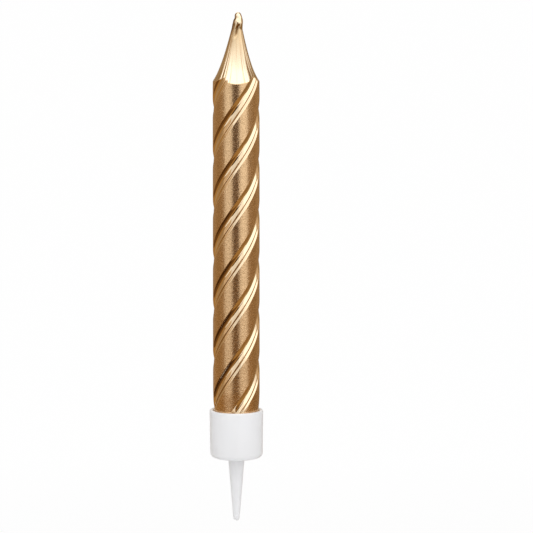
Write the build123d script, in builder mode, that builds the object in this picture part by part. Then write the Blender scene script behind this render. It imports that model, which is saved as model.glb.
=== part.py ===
"""A spiral birthday candle standing in its push-in cake holder.

A pointed gold candle with a four-start spiral is pushed into a small moulded cup, whose spike goes into the cake.
The origin is the middle of the cup's underside, where it meets the icing, and +Z runs up the candle.
Sizes are in millimetres and angles in degrees.
"""

import os
from math import ceil, cos, radians, sin, tan

from build123d import *

# Candle
candle_diameter = 8.0  # over the smooth lobes
shank_length = 64.1  # from the foot to the shoulder where the point starts
point_height = 8.7  # the hollow-sided point, shoulder to neck
point_hollow = 0.36  # how far the side of the point dips inside a straight cone
neck_diameter = 1.92  # where the wick leaves the point
foot_draw_in = 0.18  # the foot is this much inside the lobes, each side, to enter the holder
foot_taper = 0.5  # angle of the part inside the holder, each side
foot_blend = 3.0  # height over the rim in which the foot widens to the full diameter

# Spiral
spiral_starts = 4
spiral_lead = 34.8  # height of one full turn, right-handed
spiral_turn = 74.5  # angle of the first groove's lip at the level of the icing
wall_depth = 0.32  # where the steep wall under a lip eases off
valley_depth = 0.45  # deepest line of a groove
bead_drop = 0.12  # how far the bead at the end of a groove's floor stays under the lobes
crease_depth = 0.19  # the narrow crease between the bead and the next lobe
lip_to_wall = 8.0  # angles across a groove, measured from its lip
lip_to_valley = 17.5
lip_to_bead = 29.0
lip_to_crease = 31.2
lip_to_lobe = 39.5

# Wick, with the gold stub that covers its end
wick_diameter = 1.1
wick_end_diameter = 0.6
stub_height = 3.0
stub_diameter = 1.8
stub_end_diameter = 1.2
stub_straight = 1.3  # height of the stub before it narrows

# Layers
layer_in_groove = 0.2  # the gold layer at its thinnest
layer_on_wick = 0.25
layer_clearance = 0.02  # between one layer and the next
core_shoulder_drop = 0.6  # the wax rod is sharpened from here, under the shoulder
core_end_drop = 1.6  # and its end stays this far under the neck
core_end_diameter = 1.4

# Holder
cup_wall = 0.65  # at the rim
cup_draft = 0.5  # taper of the cup's outside, each side
cup_floor = 1.2
socket_depth = 7.1
push_clearance = 0.06  # between the candle's foot and the socket, each side
rim_chamfer = 0.18
base_chamfer = 0.4
spike_length = 11.1
spike_root_diameter = 2.8
spike_end_diameter = 1.1

# Levels and radii that follow from the sizes
foot_level = cup_floor
rim_level = cup_floor + socket_depth
shoulder_level = foot_level + shank_length
neck_level = shoulder_level + point_height
stub_level = neck_level + stub_height
lobe_radius = candle_diameter / 2
core_radius = lobe_radius - valley_depth - layer_in_groove
foot_radius = lobe_radius - foot_draw_in
taper_in_socket = socket_depth * tan(radians(foot_taper))


def polar(radius, angle):
    """A point in the section plane."""
    return Vector(radius * cos(radians(angle)), radius * sin(radians(angle)))


def past(inner, edge):
    """A point outside the candle, on the line from inner through the edge of a lobe."""
    return edge + (edge - inner) * 0.6


def groove_run(bottom, top):
    """A stretch of one groove as a solid, twisted between two levels and closed outside the candle."""
    lip_angle = spiral_turn + 360 * bottom / spiral_lead
    lip = polar(lobe_radius, lip_angle)
    wall = polar(lobe_radius - wall_depth, lip_angle + lip_to_wall)
    valley = polar(lobe_radius - valley_depth, lip_angle + lip_to_valley)
    bead = polar(lobe_radius - bead_drop, lip_angle + lip_to_bead)
    crease = polar(lobe_radius - crease_depth, lip_angle + lip_to_crease)
    lobe = polar(lobe_radius, lip_angle + lip_to_lobe)
    outside = polar(candle_diameter * 0.6, lip_angle + lip_to_lobe / 2)
    with BuildPart() as form:
        with BuildSketch(Plane.XY.offset(bottom)):
            with BuildLine():
                Polyline(past(wall, lip), wall, valley, bead, crease, past(crease, lobe), outside, close=True)
            make_face()
        with BuildLine(Plane.XY.offset(bottom)) as twist_axis:
            Line((0, 0, 0), (0, 0, top - bottom))
        with BuildLine(Plane.XY.offset(bottom), mode=Mode.PRIVATE) as twist_guide:
            Helix(spiral_lead, top - bottom, candle_diameter)
        sweep(path=twist_axis.edge(), binormal=twist_guide.edge())
    return form.part


def wick_form(grow):
    """The wick, or the hollow for it when grown by a clearance."""
    with BuildPart() as form:
        with BuildSketch(Plane.XZ):
            with BuildLine():
                Polyline(
                    (0, foot_level),
                    (wick_diameter / 2 + grow, foot_level),
                    (wick_diameter / 2 + grow, neck_level + stub_straight),
                    (wick_end_diameter / 2 + grow, stub_level - layer_on_wick + grow),
                    (0, stub_level - layer_on_wick + grow),
                    close=True,
                )
            make_face()
        revolve(axis=Axis.Z)
    return form.part


def core_form(grow):
    """The wax core before its wick hole, or the hollow for it when grown by a clearance."""
    with BuildPart() as form:
        with BuildSketch(Plane.XZ):
            with BuildLine():
                Polyline(
                    (0, foot_level),
                    (core_radius + grow, foot_level),
                    (core_radius + grow, shoulder_level - core_shoulder_drop),
                    (core_end_diameter / 2 + grow, neck_level - core_end_drop + grow),
                    (0, neck_level - core_end_drop + grow),
                    close=True,
                )
            make_face()
        revolve(axis=Axis.Z)
    return form.part


wick_hollow = wick_form(layer_clearance)
core_hollow = core_form(layer_clearance)

# The braided wick runs the whole length of the candle.
with BuildPart() as wick:
    add(wick_form(0))

# The white wax rod, sharpened at the top, with the hole for the wick.
with BuildPart() as wax_core:
    add(core_form(0))
    add(wick_hollow, mode=Mode.SUBTRACT)

# The gold layer is turned to the candle's outline, cut by the spiral grooves and hollowed for the core and the wick.
# Each groove is cut in runs of less than one turn.
with BuildPart() as gold_layer:
    stub_radius = stub_diameter / 2
    stub_end_radius = stub_end_diameter / 2
    dome_level = stub_level - stub_end_radius
    with BuildSketch(Plane.XZ):
        with BuildLine():
            point_side = SagittaArc((lobe_radius, shoulder_level), (neck_diameter / 2, neck_level), point_hollow)
            Polyline(
                (0, foot_level),
                (foot_radius, foot_level),
                (foot_radius + taper_in_socket, rim_level),
                (lobe_radius, rim_level + foot_blend),
                point_side @ 0,
            )
            Polyline(point_side @ 1, (stub_radius, neck_level + stub_straight), (stub_end_radius, dome_level))
            CenterArc((0, dome_level), stub_end_radius, 0, 90)
            Line((0, stub_level), (0, foot_level))
        make_face()
    revolve(axis=Axis.Z)
    groove_runs = ceil(neck_level / (0.95 * spiral_lead))
    for run in range(groove_runs):
        groove = groove_run(neck_level * run / groove_runs, neck_level * (run + 1) / groove_runs)
        with PolarLocations(0, spiral_starts):
            add(groove, mode=Mode.SUBTRACT)
    add(core_hollow, mode=Mode.SUBTRACT)
    add(wick_hollow, mode=Mode.SUBTRACT)

# The holder is one moulding: a tapered cup with a socket for the foot, on a spike with a rounded end.
with BuildPart() as holder:
    socket_radius = foot_radius + push_clearance
    mouth_radius = socket_radius + taper_in_socket
    rim_radius = mouth_radius + cup_wall
    base_radius = rim_radius - rim_level * tan(radians(cup_draft))
    spike_end_radius = spike_end_diameter / 2
    spike_end_level = spike_end_radius - spike_length
    with BuildSketch(Plane.XZ):
        with BuildLine():
            Polyline(
                (0, cup_floor),
                (socket_radius, cup_floor),
                (mouth_radius, rim_level),
                (rim_radius, rim_level),
                (base_radius, 0),
                (spike_root_diameter / 2, 0),
                (spike_end_radius, spike_end_level),
            )
            CenterArc((0, spike_end_level), spike_end_radius, 0, -90)
            Line((0, -spike_length), (0, cup_floor))
        make_face()
    revolve(axis=Axis.Z)
    rim_edges = holder.edges().filter_by(GeomType.CIRCLE).group_by(Axis.Z)[-1]
    chamfer(rim_edges, length=min(rim_chamfer, 0.4 * cup_wall))
    underside_edges = holder.faces().filter_by(GeomType.PLANE).sort_by(Axis.Z)[0].edges().sort_by(SortBy.RADIUS)
    chamfer(underside_edges[-1], length=base_chamfer)

os.makedirs("parts", exist_ok=True)
for name, piece in (("wick", wick), ("wax_core", wax_core), ("gold_layer", gold_layer), ("holder", holder)):
    piece.part.label = name
    export_step(piece.part, f"parts/{name}.step")
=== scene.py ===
# %% [markdown]
# # A gold spiral birthday candle in its holder
# The object is a pointed party candle: a wick, a white wax rod and a gold layer with four spiral grooves.
# It stands in a small white moulded cup whose spike goes into the cake.
# The solids fix the sizes and how the candle lifts out.
# This lesson gives the pieces their finer form and their finish.
# Each step says what the thing is on the real object, then builds it and prints what was made.

# %% Load the solids
import math

import bmesh
import bpy
import numpy as np
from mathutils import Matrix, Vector


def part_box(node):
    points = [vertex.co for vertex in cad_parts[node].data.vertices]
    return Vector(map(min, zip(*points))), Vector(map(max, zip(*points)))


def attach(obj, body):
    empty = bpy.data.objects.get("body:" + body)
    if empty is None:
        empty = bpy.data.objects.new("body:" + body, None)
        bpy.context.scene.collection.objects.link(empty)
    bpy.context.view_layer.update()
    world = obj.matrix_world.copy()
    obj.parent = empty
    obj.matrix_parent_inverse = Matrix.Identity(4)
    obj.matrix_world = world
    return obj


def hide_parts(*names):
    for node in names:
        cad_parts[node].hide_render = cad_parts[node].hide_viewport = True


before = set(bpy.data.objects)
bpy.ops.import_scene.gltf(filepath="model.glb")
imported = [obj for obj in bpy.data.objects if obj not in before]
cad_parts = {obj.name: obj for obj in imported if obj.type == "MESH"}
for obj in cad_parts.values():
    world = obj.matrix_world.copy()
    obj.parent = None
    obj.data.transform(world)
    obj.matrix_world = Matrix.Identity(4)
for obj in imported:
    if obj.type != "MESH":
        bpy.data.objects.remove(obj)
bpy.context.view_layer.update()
MM = 0.001

# %% [markdown]
# ## Sizes
# The levels come from the solids' own boxes, so the pieces always sit where the frame says.
# Only what a box can't tell, such as the spiral's lead, is written again here, in millimetres and degrees.

# %% Read the levels and name the spiral's sizes
gold_low, gold_high = (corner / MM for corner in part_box("gold_layer"))
holder_low, holder_high = (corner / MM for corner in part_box("holder"))
wick_low, wick_high = (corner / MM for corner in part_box("wick"))
lobe_radius = gold_high.x
foot_level, stub_level = gold_low.z, gold_high.z
rim_level, rim_radius, spike_level = holder_high.z, holder_high.x, holder_low.z
wick_radius = wick_high.x

STUB_HEIGHT = 3.0
POINT_HEIGHT = 8.92
neck_level = stub_level - STUB_HEIGHT
shoulder_level = neck_level - POINT_HEIGHT
SPIRAL_STARTS = 4
SPIRAL_LEAD = 34.8
SPIRAL_TURN = 74.5
print(f"foot {foot_level:.2f}, rim {rim_level:.2f}, shoulder {shoulder_level:.2f}")
print(f"neck {neck_level:.2f}, top {stub_level:.2f}")

# %% [markdown]
# ## Shader maths as plain expressions
# A material is a graph of nodes, and long formulas are hard to read as nodes.
# This small class wraps a socket, so that `1 - mask * 0.5` adds the Math nodes by itself.
# Colours go through Mix nodes, because a Math node would turn them grey.

# %% The socket class


class Value:
    """A node's output socket that can be used in Python expressions."""

    def __init__(self, tree, socket):
        self.tree, self.socket = tree, socket

    def node(self, kind, output=0, settings=None, **inputs):
        """Adds any node: settings are set first, then the sockets get values or links."""
        made = self.tree.nodes.new(kind)
        for name, value in (settings or {}).items():
            setattr(made, name, value)
        for name, value in inputs.items():
            key = int(name[1:]) if name[0] == "i" and name[1:].isdigit() else name.replace("_", " ")
            connect(self.tree, value, made.inputs[key])
        return Value(self.tree, made.outputs[output])

    def math(self, operation, first, second=0.0):
        """One Math node."""
        return self.node("ShaderNodeMath", settings={"operation": operation}, i0=first, i1=second)

    def __add__(self, other):
        return self.math("ADD", self, other)

    def __radd__(self, other):
        return self.math("ADD", other, self)

    def __sub__(self, other):
        return self.math("SUBTRACT", self, other)

    def __rsub__(self, other):
        return self.math("SUBTRACT", other, self)

    def __mul__(self, other):
        return self.math("MULTIPLY", self, other)

    def __rmul__(self, other):
        return self.math("MULTIPLY", other, self)

    def clamp(self):
        return self.node("ShaderNodeClamp", Value=self)

    def mix(self, first, second):
        """A colour between two colours, by this value."""
        return self.node("ShaderNodeMix", 2, {"data_type": "RGBA"}, i0=self, i6=first, i7=second)

    def ramp(self, low, high):
        """This value stretched so that low gives 0 and high gives 1."""
        return self.node("ShaderNodeMapRange", Value=self, From_Min=low, From_Max=high)


def connect(tree, value, socket):
    """Links a Value to a socket, or sets the socket to a constant."""
    if isinstance(value, Value):
        tree.links.new(value.socket, socket)
    else:
        socket.default_value = value


def new_material(name):
    """A material, its main shader, and its object coordinates, from which expressions start."""
    made = bpy.data.materials.new(name)
    made.use_nodes = True
    tree = made.node_tree
    shader = tree.nodes["Principled BSDF"]
    place = Value(tree, tree.nodes.new("ShaderNodeTexCoord").outputs["Object"])
    return made, shader, place


def rgb(red, green, blue):
    """A colour in linear light, with full alpha."""
    return (red, green, blue, 1.0)


WHITE = rgb(1, 1, 1)
print("socket class ready")

# %% [markdown]
# ## Mesh helpers
# Every round piece here is a grid of points wound round the axis: rings up the piece, columns round it.
# A Screw modifier could spin an outline too, but in a grid each column can have a depth of its own.
# One helper turns such a grid into a mesh, one spins an outline and one rounds an outline's corner.

# %% Grids and turned outlines
MERGE_DISTANCE = 0.0002


def grid_piece(name, rings, attributes=None):
    """A mesh from rings x columns x 3 in millimetres. A ring of no size at an end becomes a point."""
    ring_count, column_count = rings.shape[:2]
    vertices = (rings.reshape(-1, 3) * MM).tolist()
    faces = []
    for ring in range(ring_count - 1):
        for column in range(column_count):
            following = (column + 1) % column_count
            low, high = ring * column_count, (ring + 1) * column_count
            faces.append((low + column, low + following, high + following, high + column))
    mesh = bpy.data.meshes.new(name)
    mesh.from_pydata(vertices, [], faces)
    for attribute_name, values in (attributes or {}).items():
        stored = mesh.attributes.new(attribute_name, "FLOAT", "POINT")
        stored.data.foreach_set("value", values.astype(np.float32).ravel())
    piece = bpy.data.objects.new(name, mesh)
    bpy.context.scene.collection.objects.link(piece)
    tidy_mesh(mesh)
    return piece


def tidy_mesh(mesh):
    """Merges the points of a closed end and turns the faces outwards."""
    edit = bmesh.new()
    edit.from_mesh(mesh)
    bmesh.ops.remove_doubles(edit, verts=edit.verts, dist=MERGE_DISTANCE * MM)
    bmesh.ops.recalc_face_normals(edit, faces=edit.faces)
    edit.to_mesh(mesh)
    edit.free()
    mesh.shade_smooth()


def turned_piece(name, outline, steps=128):
    """A piece turned round the axis from an outline of radius and level."""
    outline = np.array(outline, float)
    angle = np.linspace(0, 2 * math.pi, steps, endpoint=False)
    radius, level = outline[:, 0, None], outline[:, 1, None]
    rings = np.stack([radius * np.cos(angle), radius * np.sin(angle), level + 0 * angle], axis=2)
    return grid_piece(name, rings)


def corner_arc(centre, radius, start, end, count=7):
    """Points of an outline's rounded corner, between two angles in degrees."""
    angle = np.radians(np.linspace(start, end, count))
    return [(centre[0] + radius * math.cos(a), centre[1] + radius * math.sin(a)) for a in angle]


print("mesh helpers ready")

# %% [markdown]
# ## Camera
# The photograph looks a little down on the candle from the front, and upright edges stay nearly parallel.
# So the camera stands well back, about 1.1 m away, with a long lens.
# The candle stands left of the middle of the picture, so the camera stands and aims a little to its right.

# %% Place the camera
PICTURE_PIXELS = 533
MM_PER_PIXEL = 0.1713
AXIS_PIXEL = 236.25
CAMERA_DISTANCE = 1100.0
CAMERA_PITCH = 8.6
AIM_OVER_RIM = 24.86
SENSOR_WIDTH = 36.0

aim_x = (PICTURE_PIXELS / 2 - AXIS_PIXEL) * MM_PER_PIXEL
aim_z = rim_level + AIM_OVER_RIM
pitch = math.radians(CAMERA_PITCH)
camera_data = bpy.data.cameras.new("camera")
camera_data.sensor_width = SENSOR_WIDTH
camera_data.lens = SENSOR_WIDTH * CAMERA_DISTANCE / (PICTURE_PIXELS * MM_PER_PIXEL)
camera = bpy.data.objects.new("camera", camera_data)
camera_y = -CAMERA_DISTANCE * math.cos(pitch)
camera_z = aim_z + CAMERA_DISTANCE * math.sin(pitch)
camera.location = Vector((aim_x, camera_y, camera_z)) * MM
camera.rotation_euler = (math.pi / 2 - pitch, 0, 0)
bpy.context.scene.collection.objects.link(camera)
bpy.context.scene.camera = camera
print(f"camera at {tuple(round(c, 3) for c in camera.location)}, lens {camera_data.lens:.0f} mm")

# %% [markdown]
# ## The spiral's section
# Going round the candle, each groove has a sharp lip, a hollow wall, a narrow flat valley and a floor.
# The floor rises to a bead, and then come a crease and the next smooth lobe.
# A displacement texture could press such grooves in, but it would blur the lip, so the depth is a formula.
# Its wall is a parabola: steep under the lip, and level where it reaches the valley.
# Averaging over a small angle softens all the edges.

# %% The section as a formula
START_ANGLE = 360 / SPIRAL_STARTS
LIP_EDGE = 2.5
LIP_TO_VALLEY, VALLEY_END, VALLEY_DEPTH = 16.5, 18.6, 0.38
LIP_TO_BEAD, BEAD_DROP = 28.4, 0.12
LIP_TO_CREASE, CREASE_DEPTH = 32.6, 0.22
LIP_TO_LOBE = 39.0
EDGE_ROUNDING = 0.9
GLOSS_EDGE = 1.0


def section_depth(offset):
    """How far the surface lies under the lobes, at an angle from the lip in degrees."""
    spread = np.linspace(-EDGE_ROUNDING, EDGE_ROUNDING, 9)
    turned = (np.asarray(offset)[..., None] + spread) % START_ANGLE
    across_wall = np.clip((turned - LIP_EDGE) / (LIP_TO_VALLEY - LIP_EDGE), 0, 1)
    wall = VALLEY_DEPTH * (1 - (1 - across_wall) ** 2)
    corners = (VALLEY_END, LIP_TO_BEAD, LIP_TO_CREASE, LIP_TO_LOBE)
    rest = np.interp(turned, corners, (VALLEY_DEPTH, BEAD_DROP, CREASE_DEPTH, 0.0))
    return np.where(turned < LIP_TO_VALLEY, wall, rest).mean(axis=-1)


def groove_share(offset):
    """1 in the glossy groove and 0 on the satin lobes."""
    offset = np.asarray(offset) % START_ANGLE
    return np.clip(np.minimum(offset - LIP_EDGE + GLOSS_EDGE, LIP_TO_LOBE + GLOSS_EDGE - offset), 0, 1)


print(f"deepest point of a groove: {section_depth(LIP_TO_VALLEY):.2f} mm")

# %% Columns of the mesh, close together in the grooves
GROOVE_FROM, GROOVE_TO = -3.0, 43.0
GROOVE_STEP, LOBE_STEP = 0.75, 4.0
fine_offsets = np.arange(GROOVE_FROM, GROOVE_TO, GROOVE_STEP)
lobe_offsets = np.arange(GROOVE_TO, START_ANGLE + GROOVE_FROM, LOBE_STEP)
start_offsets = np.concatenate([fine_offsets, lobe_offsets])
offsets = np.concatenate([start_offsets + start * START_ANGLE for start in range(SPIRAL_STARTS)])
print(f"{len(offsets)} columns round the candle")

# %% [markdown]
# ## The gold layer
# The gold covers the wax: a shank with the spiral, a hollow-sided point and a lumpy stub on the wick.
# A Boolean modifier could cut the spiral off with the point, but it leaves ragged triangles along the cut.
# So each column of the mesh follows the spiral at its own depth, up to where the point's side crosses it.
# A deep column meets the point higher than a lobe does, and that draws the scalloped edge under the point.
# The point isn't quite round: a soft ridge stands over each groove, and fine lines run up its side.
# Above the point the columns go on to the stub, where the gold covers the wick's end and leans over.

# %% Outline of the point and the foot
NECK_RADIUS = 0.96
POINT_WAIST = (2.53, 2.05)
POINT_RIDGE, RIDGE_OFFSET = 0.085, 18.0
POINT_FLUTE = 0.10
POINT_LINES, LINE_DEPTH, LINE_WIDTH = (-4.0, 11.0, 21.0), 0.06, 2.2
RIDGE_LEFT_AT_NECK = 0.25
FOOT_RADII = (3.82, 3.882)
FOOT_BLEND = 3.0
NO_LIMIT = 5.0

curve = np.linspace(0, 1, 200)


def bent(start, waist, end):
    """Values from start to end that lean towards the waist, as a curve with three control points."""
    return (1 - curve) ** 2 * start + 2 * curve * (1 - curve) * waist + curve**2 * end


point_radii = bent(lobe_radius, POINT_WAIST[0], NECK_RADIUS)
point_levels = bent(shoulder_level, shoulder_level + POINT_WAIST[1], neck_level)


def point_radius(level, offset):
    """Radius of the point, with the ridges and the traces of the grooves fading upwards."""
    fade = np.interp(level, (shoulder_level, neck_level), (1.0, RIDGE_LEFT_AT_NECK))
    ridge = 0.5 + 0.5 * np.cos(np.radians((offset - RIDGE_OFFSET) * SPIRAL_STARTS))
    turned = (np.asarray(offset) + START_ANGLE / 2) % START_ANGLE - START_ANGLE / 2
    lines = sum(np.exp(-(((turned - line) / LINE_WIDTH) ** 2)) for line in POINT_LINES)
    traces = (POINT_FLUTE * section_depth(offset) + LINE_DEPTH * lines) * fade
    round_radius = np.interp(level, point_levels, point_radii)
    return round_radius * (1 + POINT_RIDGE * ridge * fade) - traces


def foot_radius(level):
    """The foot is drawn in to enter the cup, and widens to the full lobes above the rim."""
    blend_level = rim_level + FOOT_BLEND
    steps = (foot_level, rim_level, blend_level, blend_level + 1)
    return np.interp(level, steps, FOOT_RADII + (lobe_radius, NO_LIMIT))


def soft_lesser(a, b, rounding):
    """The lesser of two radii, with a rounded edge where they cross."""
    return (a + b - np.sqrt((a - b) ** 2 + rounding**2)) / 2


print(f"point: {lobe_radius:.2f} mm at the shoulder, {NECK_RADIUS:.2f} mm at the neck")

# %% The stub's lumps and lean
LEAN_HEIGHTS = (-6.5, 0.0, 1.2, 2.0, 2.4, 3.0)
LEAN_OFFSETS = (0.0, 0.15, 0.30, 0.37, 0.32, 0.34)
STUB_HEIGHTS = (0.0, 0.3, 0.96, 1.3, 1.65, 2.0, 2.34, 2.7, 2.88, 2.97, 3.0)
STUB_RADII = (0.96, 0.91, 0.90, 0.87, 0.79, 0.68, 0.62, 0.47, 0.34, 0.18, 0.0)
LUMP_SIZE, SMALL_LUMP, LUMP_TURN, SMALL_LUMP_TURN = 0.035, 0.7, 3.0, 4.5
STUB_FLATTENING, FLAT_SIDE_ANGLE, FLAT_SIDE_SHIFT = 0.07, 150.0, 0.87
LUMPS_FULL_HEIGHT = 1.8
FRONT_FOLD = {
    "depth": 0.25,
    "width": 13.0,
    "from_front": 0.0,
    "drift": 14.0,
    "heights": (-1.3, -0.6, 0.6, 1.1),
}
LEFT_NOTCH = {
    "depth": 0.13,
    "width": 38.0,
    "from_front": -85.0,
    "drift": 0.0,
    "heights": (1.6, 1.95, 2.15, 2.6),
}
# The shade is no fold. It only says how dark the left side of the stub is.
LEFT_SHADE = {
    "depth": 0.8,
    "width": 32.0,
    "from_front": -65.0,
    "drift": 0.0,
    "heights": (-0.8, 0.2, 2.4, 2.9),
}


def lean(level):
    """How far the top of the candle leans to the right at a level."""
    return np.interp(level - neck_level, LEAN_HEIGHTS, LEAN_OFFSETS)


def fold_and_painted_shade(level, angle, depth, width, from_front, drift, heights):
    """Depth of a fold, or strength of a painted shade, that runs up the gold round the neck."""
    height = level - neck_level
    turned = (np.degrees(angle) + 90 - from_front - drift * height + 180) % 360 - 180
    strength = np.interp(height, heights, (0.0, 1.0, 1.0, 0.0))
    return depth * strength * np.exp(-((turned / width) ** 2))


def stub_radius(level, angle):
    """The stub's radius, with soft lumps."""
    height = level - neck_level
    rise = np.clip(height / LUMPS_FULL_HEIGHT, 0, 1)
    large_lumps = np.cos(2 * angle + LUMP_TURN * height)
    small_lumps = SMALL_LUMP * np.cos(3 * angle - SMALL_LUMP_TURN * height)
    lumps = LUMP_SIZE * rise * (large_lumps + small_lumps)
    flat_sides = np.cos(2 * angle + math.radians(FLAT_SIDE_ANGLE)) + FLAT_SIDE_SHIFT
    return np.interp(height, STUB_HEIGHTS, STUB_RADII) * (1 + lumps + STUB_FLATTENING * rise * flat_sides)


print(f"stub: {STUB_HEIGHT} mm, leaning {LEAN_OFFSETS[-1]} mm")

# %% Levels and angles of the rings
SHANK_RINGS, SHOULDER_RINGS, POINT_RINGS, STUB_RINGS = 170, 8, 40, 30
SHANK_END, SHOULDER_START = 0.985, 0.987
CROWDING = 1.3
column_radius = lobe_radius - section_depth(offsets)
point_grid = point_radius(point_levels[:, None], offsets)
cut_level = np.array([np.interp(-r, -side, point_levels) for r, side in zip(column_radius, point_grid.T)])
even_share = np.linspace(0, SHANK_END, SHANK_RINGS)
close_share = np.linspace(SHOULDER_START, 1, SHOULDER_RINGS)
shank_share = np.concatenate([even_share, close_share])
shank_z = foot_level + (cut_level - foot_level) * shank_share[:, None]
point_share = np.linspace(0, 1, POINT_RINGS)[1:, None] ** CROWDING
point_z = cut_level + (neck_level - cut_level) * point_share
stub_z = neck_level + STUB_HEIGHT * np.linspace(0, 1, STUB_RINGS)[1:, None] + 0 * cut_level
ring_z = np.concatenate([shank_z, point_z, stub_z])
twist_z = np.minimum(ring_z, cut_level)
ring_angle = np.radians(SPIRAL_TURN + offsets + 360 * twist_z / SPIRAL_LEAD)
print(f"{len(ring_z)} rings, the point starts between {cut_level.min():.2f} and {cut_level.max():.2f} mm")

# %% Radii of the rings
FOOT_EDGE, SHOULDER_EDGE, SHOULDER_REACH = 0.02, 0.03, 1.0
shank_radius = soft_lesser(column_radius + 0 * shank_z, foot_radius(shank_z), FOOT_EDGE)
near_point = soft_lesser(shank_radius, point_radius(shank_z, offsets), SHOULDER_EDGE)
shank_radius = np.where(shank_z > shoulder_level - SHOULDER_REACH, near_point, shank_radius)
point_rows = np.minimum(shank_radius[-1], point_radius(point_z, offsets))
stub_rows = stub_radius(stub_z, ring_angle[-len(stub_z) :])
front_fold = fold_and_painted_shade(ring_z, ring_angle, **FRONT_FOLD)
left_notch = fold_and_painted_shade(ring_z, ring_angle, **LEFT_NOTCH)
ring_radius = np.concatenate([shank_radius, point_rows, stub_rows]) - front_fold - left_notch
print(f"largest radius {ring_radius.max():.2f} mm")

# %% Mesh of the gold layer, with the values that its material reads, painted shade among them
ring_x = ring_radius * np.cos(ring_angle) + lean(ring_z)
ring_y = ring_radius * np.sin(ring_angle)
rings = np.stack([ring_x, ring_y, ring_z], axis=2)
on_point = (np.arange(len(ring_z)) >= len(shank_z))[:, None] + 0 * ring_z
gloss = np.maximum(on_point, groove_share(offsets))
# The stub's front crease and its left side are darkened with painted shade, by how deep the fold is and by
# the left-side shade.
painted_shade = np.clip(front_fold / FRONT_FOLD["depth"] + fold_and_painted_shade(ring_z, ring_angle, **LEFT_SHADE), 0, 1)
gold_layer = grid_piece("gold_layer_spiral", rings, {"gloss": gloss, "point": on_point, "fold_and_painted_shade": painted_shade})
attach(gold_layer, "candle")
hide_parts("gold_layer")
print(f"gold layer: {len(gold_layer.data.vertices)} points")

# %% [markdown]
# ## Gold finish
# The gold is metal powder in lacquer over wax.
# The grooves and the point were pressed smooth and mirror what is round them.
# The lobes stay satin, with a fine grain.
# Two materials would meet in a hard line, so one material blends both by a value of the mesh called gloss.
# Two more values mark the point, which is streaked and gets a painted shade towards its neck, and the stub's
# front crease and left side, which get painted shade.

# %% Colours of the gold and what they vary by
GOLD_SATIN, GOLD_SATIN_DARK = rgb(0.90, 0.62, 0.355), rgb(0.60, 0.40, 0.215)
# Both colours of the next line are painted shade: the first darkens the point towards its neck, the second
# the stub's front crease and left side.
GOLD_NECK_PAINTED_SHADE, GOLD_PAINTED_SHADE = rgb(0.62, 0.46, 0.27), rgb(0.20, 0.10, 0.035)
GOLD_GLOSS, GOLD_POINT, GOLD_STREAK = rgb(0.90, 0.70, 0.47), rgb(0.90, 0.74, 0.53), rgb(0.62, 0.43, 0.26)
STREAKS_ROUND, STREAKS_UP = 9.0, 90.0
# Levels where the painted shade of the point's neck starts, is full, starts to fade and ends.
NECK_SHADE_FROM, NECK_SHADE_FULL, NECK_SHADE_FADES, NECK_SHADE_ENDS = (neck_level + height for height in (-5.5, -1.0, 0.3, 1.5))

gold, gold_shader, place = new_material("gold_lacquer")
gloss_value = place.node("ShaderNodeAttribute", 2, {"attribute_name": "gloss"})
point_value = place.node("ShaderNodeAttribute", 2, {"attribute_name": "point"})
painted_shade_value = place.node("ShaderNodeAttribute", 2, {"attribute_name": "fold_and_painted_shade"})
grain = place.node("ShaderNodeTexNoise", 0, Vector=place, Scale=4600.0, Detail=2.0, Roughness=0.6)
patches = place.node("ShaderNodeTexNoise", 0, Vector=place, Scale=700.0, Detail=3.0, Roughness=0.55)
axes = [place.node("ShaderNodeSeparateXYZ", axis, Vector=place) for axis in range(3)]
from_front = place.math("ARCTAN2", axes[0], -1.0 * axes[1])
unrolled = place.node("ShaderNodeCombineXYZ", X=STREAKS_ROUND * from_front, Z=STREAKS_UP * axes[2])
streaks = place.node("ShaderNodeTexNoise", 0, Vector=unrolled, Scale=1.0, Detail=2.0, Roughness=0.6)
print("noises for the gold: grain, patches and streaks")

# %% Roughness, colour and bump of the gold
SATIN_ROUGHNESS, GLOSS_ROUGHNESS, POINT_ADDED = 0.26, 0.10, 0.08
satin_roughness = SATIN_ROUGHNESS + 0.10 * (grain - 0.5) + 0.06 * (patches - 0.5)
streaked = point_value * (POINT_ADDED + 0.16 * (streaks - 0.5))
glossy_roughness = GLOSS_ROUGHNESS + 0.06 * (patches - 0.5) + streaked
roughness = satin_roughness * (1 - gloss_value) + glossy_roughness * gloss_value
connect(gold.node_tree, roughness, gold_shader.inputs["Roughness"])
speckle = grain.ramp(0.36, 0.64).mix(GOLD_SATIN_DARK, GOLD_SATIN)
# Painted shade: the point's colour darkens towards its neck and fades out above it.
above_neck = axes[2].ramp(NECK_SHADE_FADES * MM, NECK_SHADE_ENDS * MM)
neck_painted_shade = axes[2].ramp(NECK_SHADE_FROM * MM, NECK_SHADE_FULL * MM) * (1 - above_neck)
point_gold = streaks.ramp(0.48, 0.32).mix(neck_painted_shade.mix(GOLD_POINT, GOLD_NECK_PAINTED_SHADE), GOLD_STREAK)
# Painted shade: the stub's front crease and left side turn a near-black brown.
smooth_gold = painted_shade_value.mix(point_value.mix(GOLD_GLOSS, point_gold), GOLD_PAINTED_SHADE)
connect(gold.node_tree, gloss_value.mix(speckle, smooth_gold), gold_shader.inputs["Base Color"])
gold_shader.inputs["Metallic"].default_value = 1.0
height = grain * (1 - 0.9 * gloss_value) + 0.3 * patches + 0.8 * streaks * point_value
bump = place.node("ShaderNodeBump", 0, Strength=0.6, Distance=0.00003, Height=height)
connect(gold.node_tree, bump, gold_shader.inputs["Normal"])
gold_layer.data.materials.append(gold)
print("gold material on the gold layer")

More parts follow.
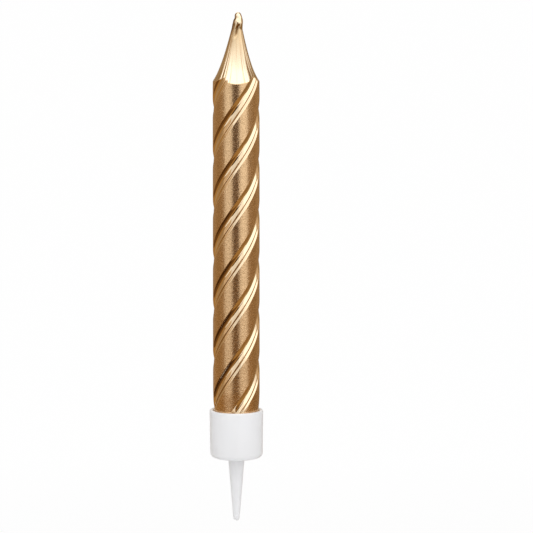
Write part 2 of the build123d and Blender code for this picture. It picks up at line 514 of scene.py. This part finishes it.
# %% [markdown]
# ## The holder
# One white moulding: a slightly tapered cup with a thin rounded rim, a rounded base and a smooth spike.
# The solid keeps its edges simple. A Bevel modifier could round them, but each edge has a radius of its own.
# So the outline is turned again here, with an arc at each edge.

# %% Build the holder
CUP_FLOOR = 1.2
SOCKET_RADIUS, MOUTH_RADIUS = 3.88, 3.942
CUP_DRAFT = 0.5
RIM_ROUNDING, BASE_ROUNDING, SPIKE_ROOT_ROUNDING = 0.24, 0.85, 0.25
SPIKE_ROOT_RADIUS, SPIKE_END_RADIUS = 1.4, 0.55
SPIKE_BEND_DROP, SPIKE_BEND_LEVEL = 0.08, -1.2
SOCKET_EDGE, SOCKET_EDGE_HEIGHT = 0.001, 0.05

base_radius = rim_radius - rim_level * math.tan(math.radians(CUP_DRAFT))
spike_end_level = spike_level + SPIKE_END_RADIUS
holder_outline = [(0, CUP_FLOOR), (SOCKET_RADIUS * 0.5, CUP_FLOOR)]
holder_outline += [(SOCKET_RADIUS, CUP_FLOOR), (SOCKET_RADIUS + SOCKET_EDGE, CUP_FLOOR + SOCKET_EDGE_HEIGHT)]
holder_outline += corner_arc((MOUTH_RADIUS + RIM_ROUNDING, rim_level - RIM_ROUNDING), RIM_ROUNDING, 180, 90)
holder_outline += corner_arc((rim_radius - RIM_ROUNDING, rim_level - RIM_ROUNDING), RIM_ROUNDING, 90, 0)
holder_outline += corner_arc((base_radius - BASE_ROUNDING, BASE_ROUNDING), BASE_ROUNDING, 0, -90, 9)
root_corner = (SPIKE_ROOT_RADIUS + SPIKE_ROOT_ROUNDING, -SPIKE_ROOT_ROUNDING)
holder_outline += corner_arc(root_corner, SPIKE_ROOT_ROUNDING, 90, 180)
holder_outline += [(SPIKE_ROOT_RADIUS - SPIKE_BEND_DROP, SPIKE_BEND_LEVEL)]
holder_outline += corner_arc((0, spike_end_level), SPIKE_END_RADIUS, 0, -90, 9)
holder = turned_piece("holder_moulding", holder_outline)
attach(holder, "holder")
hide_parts("holder")
print(f"holder: {len(holder.data.vertices)} points")

# %% [markdown]
# ## White plastic
# Moulded plastic is never one flat white. Where it flowed and cooled, its colour and gloss vary a little.
# One soft noise steers both, so that they vary together, and a finer one adds a faint grain.

# %% The plastic material
plastic, plastic_shader, place = new_material("white_plastic")
flow = place.node("ShaderNodeTexNoise", 0, Vector=place, Scale=260.0, Detail=3.0, Roughness=0.5)
speck = place.node("ShaderNodeTexNoise", 0, Vector=place, Scale=5200.0, Detail=1.0)
plastic_white = flow.mix(rgb(0.87, 0.875, 0.895), rgb(0.91, 0.91, 0.92))
connect(plastic.node_tree, plastic_white, plastic_shader.inputs["Base Color"])
connect(plastic.node_tree, 0.30 + 0.10 * (flow - 0.5), plastic_shader.inputs["Roughness"])
plastic_shader.inputs["Specular IOR Level"].default_value = 0.3
bump = place.node("ShaderNodeBump", 0, Strength=0.06, Distance=0.00003, Height=flow + 0.3 * speck)
connect(plastic.node_tree, bump, plastic_shader.inputs["Normal"])
holder.data.materials.append(plastic)
print("plastic material on the holder")

# %% [markdown]
# ## Wax core and wick
# They show only at the foot, when the candle is lifted out: a white wax ring round a cotton wick.
# The core keeps its solid and gets a cloudy wax finish.
# The wick could be made from curves wound round each other.
# At this size a twisted section with three lobes looks the same, and it stays one closed mesh.

# %% Wax material
wax, wax_shader, place = new_material("white_wax")
cloud = place.node("ShaderNodeTexNoise", 0, Vector=place, Scale=500.0, Detail=4.0, Roughness=0.6)
wax_white = cloud.mix(rgb(0.86, 0.83, 0.76), rgb(0.93, 0.91, 0.86))
connect(wax.node_tree, wax_white, wax_shader.inputs["Base Color"])
connect(wax.node_tree, 0.45 + 0.2 * (cloud - 0.5), wax_shader.inputs["Roughness"])
bump = place.node("ShaderNodeBump", 0, Strength=0.2, Distance=0.00005, Height=cloud)
connect(wax.node_tree, bump, wax_shader.inputs["Normal"])
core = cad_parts["wax_core"]
core.data.materials.clear()
core.data.materials.append(wax)
print("wax material on the core")

# %% Build the wick from twisted strands
STRANDS = 3
STRAND_TURN = 4.0
HOLLOW_SHARE, LOBE_SHARE = 0.74, 0.26
NARROW_HEIGHT, NARROW_SHARE = 1.7, 0.5
WICK_RINGS, WICK_COLUMNS = 220, 96
wick_z = np.linspace(wick_low.z, wick_high.z, WICK_RINGS)
around = np.linspace(0, 2 * math.pi, WICK_COLUMNS, endpoint=False)
lobe = np.abs(np.cos(STRANDS * around / 2))
narrowing = np.interp(wick_z, (wick_high.z - NARROW_HEIGHT, wick_high.z), (1.0, NARROW_SHARE))
wick_section = wick_radius * (HOLLOW_SHARE + LOBE_SHARE * lobe)
strand_angle = around + 2 * math.pi * wick_z[:, None] / STRAND_TURN
strand_radius = wick_section * narrowing[:, None]
strand_x = strand_radius * np.cos(strand_angle) + lean(wick_z)[:, None]
strand_y = strand_radius * np.sin(strand_angle)
wick_rings = np.stack([strand_x, strand_y, wick_z[:, None] + 0 * around], axis=2)
ends = [np.zeros_like(wick_rings[0]) + ring.mean(axis=0) for ring in (wick_rings[0], wick_rings[-1])]
wick = grid_piece("wick_strands", np.concatenate([ends[0][None], wick_rings, ends[1][None]]))
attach(wick, "candle")
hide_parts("wick")
print(f"wick: {STRANDS} strands, {len(wick.data.vertices)} points")

# %% Cotton material
cotton, cotton_shader, place = new_material("cotton_wick")
fibre = place.node("ShaderNodeTexNoise", 0, Vector=place, Scale=6000.0, Detail=3.0, Roughness=0.7)
cotton_white = fibre.mix(rgb(0.70, 0.66, 0.57), rgb(0.90, 0.87, 0.80))
connect(cotton.node_tree, cotton_white, cotton_shader.inputs["Base Color"])
connect(cotton.node_tree, 0.8 + 0.2 * (fibre - 0.5), cotton_shader.inputs["Roughness"])
bump = place.node("ShaderNodeBump", 0, Strength=0.5, Distance=0.00005, Height=fibre)
connect(cotton.node_tree, bump, cotton_shader.inputs["Normal"])
wick.data.materials.append(cotton)
print("cotton material on the wick")

# %% [markdown]
# ## The stage
# A metal shows what stands round it, so the stage matters as much as the gold.
# The candle stands in a white tent: a pale floor well under the spike, and white surroundings.
# White light from all sides would wash out the holder, so only what is seen of the tent is white.
# The light that it sheds is dimmer, and the holder keeps its shading.

# %% The floor
FLOOR_DROP = 70.0
FLOOR_HALF = 4.0
floor_mesh = bpy.data.meshes.new("floor")
floor_z = (spike_level - FLOOR_DROP) * MM
floor_signs = ((-1, -1), (1, -1), (1, 1), (-1, 1))
floor_points = [(x * FLOOR_HALF, y * FLOOR_HALF, floor_z) for x, y in floor_signs]
floor_mesh.from_pydata(floor_points, [], [(0, 1, 2, 3)])
floor = bpy.data.objects.new("floor", floor_mesh)
bpy.context.scene.collection.objects.link(floor)
print(f"floor at {floor_z:.4f} m")

# %% Pale paper on the floor
FLOOR_LIFT, FAR_LIFT = 0.85, 0.14
LIFT_START, LIFT_END = 0.15, 0.45


def seen_directly(value):
    """1 for what the camera sees, itself or in a mirror or glass, and 0 for what only lights the object."""
    path = value.tree.nodes.new("ShaderNodeLightPath")
    kinds = ("Is Camera Ray", "Is Glossy Ray", "Is Transmission Ray")
    camera_ray, glossy_ray, transmission_ray = (Value(value.tree, path.outputs[kind]) for kind in kinds)
    return (camera_ray + glossy_ray + transmission_ray).clamp()


paper, paper_shader, place = new_material("pale_paper")
paper_shader.inputs["Base Color"].default_value = rgb(0.93, 0.93, 0.93)
paper_shader.inputs["Roughness"].default_value = 0.9
glow = place.node("ShaderNodeEmission", 0, Color=WHITE, Strength=1.0)
from_candle = place.node("ShaderNodeVectorMath", 1, {"operation": "LENGTH"}, i0=place)
lift = seen_directly(place) * (FLOOR_LIFT + FAR_LIFT * from_candle.ramp(LIFT_START, LIFT_END))
plain_paper = Value(paper.node_tree, paper_shader.outputs[0])
lifted = place.node("ShaderNodeMixShader", 0, i0=lift, i1=plain_paper, i2=glow)
connect(paper.node_tree, lifted, paper.node_tree.nodes["Material Output"].inputs["Surface"])
floor.data.materials.append(paper)
print("pale paper on the floor")

# %% White surroundings
WORLD_LIGHT = 0.51
world = bpy.data.worlds.new("white_tent")
world.use_nodes = True
bpy.context.scene.world = world
tent = world.node_tree.nodes["Background"]
tent.inputs["Color"].default_value = WHITE
start = Value(world.node_tree, tent.outputs[0])
connect(world.node_tree, WORLD_LIGHT + (1 - WORLD_LIGHT) * seen_directly(start), tent.inputs["Strength"])
print(f"white surroundings, light {WORLD_LIGHT}")

# %% [markdown]
# ## Softboxes, cards and mats
# Softboxes of several strengths light the candle from the front and from behind.
# In front they are brightest at the top and on the right, so that the point is shaded.
# Gold also needs something dark and something warm to mirror.
# So a dark card stands in front, and brown cards and mats stand and lie round the candle.
# Area lamps could be softboxes too, but a curved glowing card is placed by its direction from the candle,
# and directions are what a metal shows.
# The camera sees none of these. Cards and mats light nothing and show only in what shines.

# %% Helpers for glowing surfaces
SOFTBOX_DISTANCE, CARD_DISTANCE = 500.0, 450.0
STAGE_MIDDLE = Vector((0, 0, 36.0))
CARD_STEPS, MAT_STEPS = 12, 48


def stage_mesh(name, points, faces, colour, strength=1.0):
    """A glowing surface of the stage that the camera doesn't see."""
    mesh = bpy.data.meshes.new(name)
    mesh.from_pydata([point * MM for point in points], [], faces)
    material, _, start = new_material(name)
    glow = start.node("ShaderNodeEmission", 0, Color=colour, Strength=strength)
    connect(material.node_tree, glow, material.node_tree.nodes["Material Output"].inputs["Surface"])
    mesh.materials.append(material)
    surface = bpy.data.objects.new(name, mesh)
    bpy.context.scene.collection.objects.link(surface)
    surface.visible_camera = surface.visible_shadow = surface.visible_transmission = False
    return surface


def card(name, azimuth, elevation, colour, strength=1.0, distance=CARD_DISTANCE):
    """A curved card round the candle's middle. Azimuth is in degrees to the right of the camera."""
    points = []
    for e in np.radians(np.linspace(*elevation, CARD_STEPS)):
        for a in np.radians(np.linspace(*azimuth, CARD_STEPS)) - math.pi / 2:
            direction = Vector((math.cos(e) * math.cos(a), math.cos(e) * math.sin(a), math.sin(e)))
            points.append(STAGE_MIDDLE + distance * direction)
    faces = []
    for row in range(CARD_STEPS - 1):
        for column in range(CARD_STEPS - 1):
            first = row * CARD_STEPS + column
            faces.append((first, first + 1, first + CARD_STEPS + 1, first + CARD_STEPS))
    return stage_mesh(name, points, faces, colour, strength)


def mat(name, azimuth, radii, height, colour):
    """A flat mat over the floor, a sector of a ring round the candle's axis."""
    centre = Vector((0, 0, spike_level - FLOOR_DROP + height))
    points = []
    for a in np.radians(np.linspace(*azimuth, MAT_STEPS)) - math.pi / 2:
        points += [centre + radius * Vector((math.cos(a), math.sin(a), 0)) for radius in radii]
    faces = [(k, k + 1, k + 3, k + 2) for k in range(0, 2 * MAT_STEPS - 2, 2)]
    return stage_mesh(name, points, faces, colour)


print("stage helpers ready")

# %% Softboxes
card("softbox", (-84, 84), (36, 66), WHITE, 1.75, SOFTBOX_DISTANCE)
card("softbox_low", (-84, 84), (24, 36), WHITE, 1.25, SOFTBOX_DISTANCE)
card("softbox_right", (-4, 84), (12, 24), WHITE, 1.6, SOFTBOX_DISTANCE)
card("softbox_middle", (-30, -4), (12, 24), WHITE, 1.15, SOFTBOX_DISTANCE)
card("softbox_left", (-84, -30), (12, 24), WHITE, 0.85, SOFTBOX_DISTANCE)
card("softbox_rear", (168, 205), (14, 60), WHITE, 1.6, SOFTBOX_DISTANCE)
print("six softboxes")

# %% Cards and mats that show in the gold
DARK_BROWN, SIDE_BROWN, BACK_BROWN = rgb(0.05, 0.02, 0.005), rgb(0.33, 0.225, 0.12), rgb(0.40, 0.285, 0.165)
TABLE_BROWN, NEAR_BROWN, FAR_BROWN = rgb(0.38, 0.215, 0.07), rgb(0.15, 0.07, 0.02), rgb(0.26, 0.16, 0.065)
TAN = rgb(0.64, 0.49, 0.34)
shown_in_gold = [
    card("band_right", (15, 58), (-12, 12), WHITE, 1.15, SOFTBOX_DISTANCE),
    card("card_front", (-19, 16), (-14, 12), DARK_BROWN),
    card("card_right", (58, 112), (-14, 4), SIDE_BROWN),
    card("card_left", (-112, -58), (-14, 4), SIDE_BROWN),
    card("card_back_right", (112, 150), (-14, 12), BACK_BROWN),
    card("card_back_left", (-158, -112), (-14, 12), BACK_BROWN),
    card("card_rear", (150, 202), (-14, 12), SIDE_BROWN),
    card("card_tan_right", (90, 112), (4, 24), TAN),
    card("card_tan_left", (-112, -70), (4, 24), TAN),
    card("card_upper_right", (84, 112), (24, 60), SIDE_BROWN),
    card("card_upper_left", (-112, -88), (24, 60), SIDE_BROWN),
    card("card_high_right", (112, 168), (12, 60), SIDE_BROWN),
    card("card_high_left", (-155, -112), (12, 60), SIDE_BROWN),
    mat("mat_table", (-152, 185), (75, 470), 0.5, TABLE_BROWN),
    mat("mat_near", (-112, 54), (122, 215), 1.0, NEAR_BROWN),
    mat("mat_dark", (-112, 54), (75, 122), 1.0, DARK_BROWN),
    mat("mat_back", (92, 160), (75, 470), 1.0, FAR_BROWN),
]
for surface in shown_in_gold:
    surface.visible_diffuse = False
bpy.context.scene.view_settings.view_transform = "Standard"
print("shown in the gold:", [surface.name for surface in shown_in_gold])
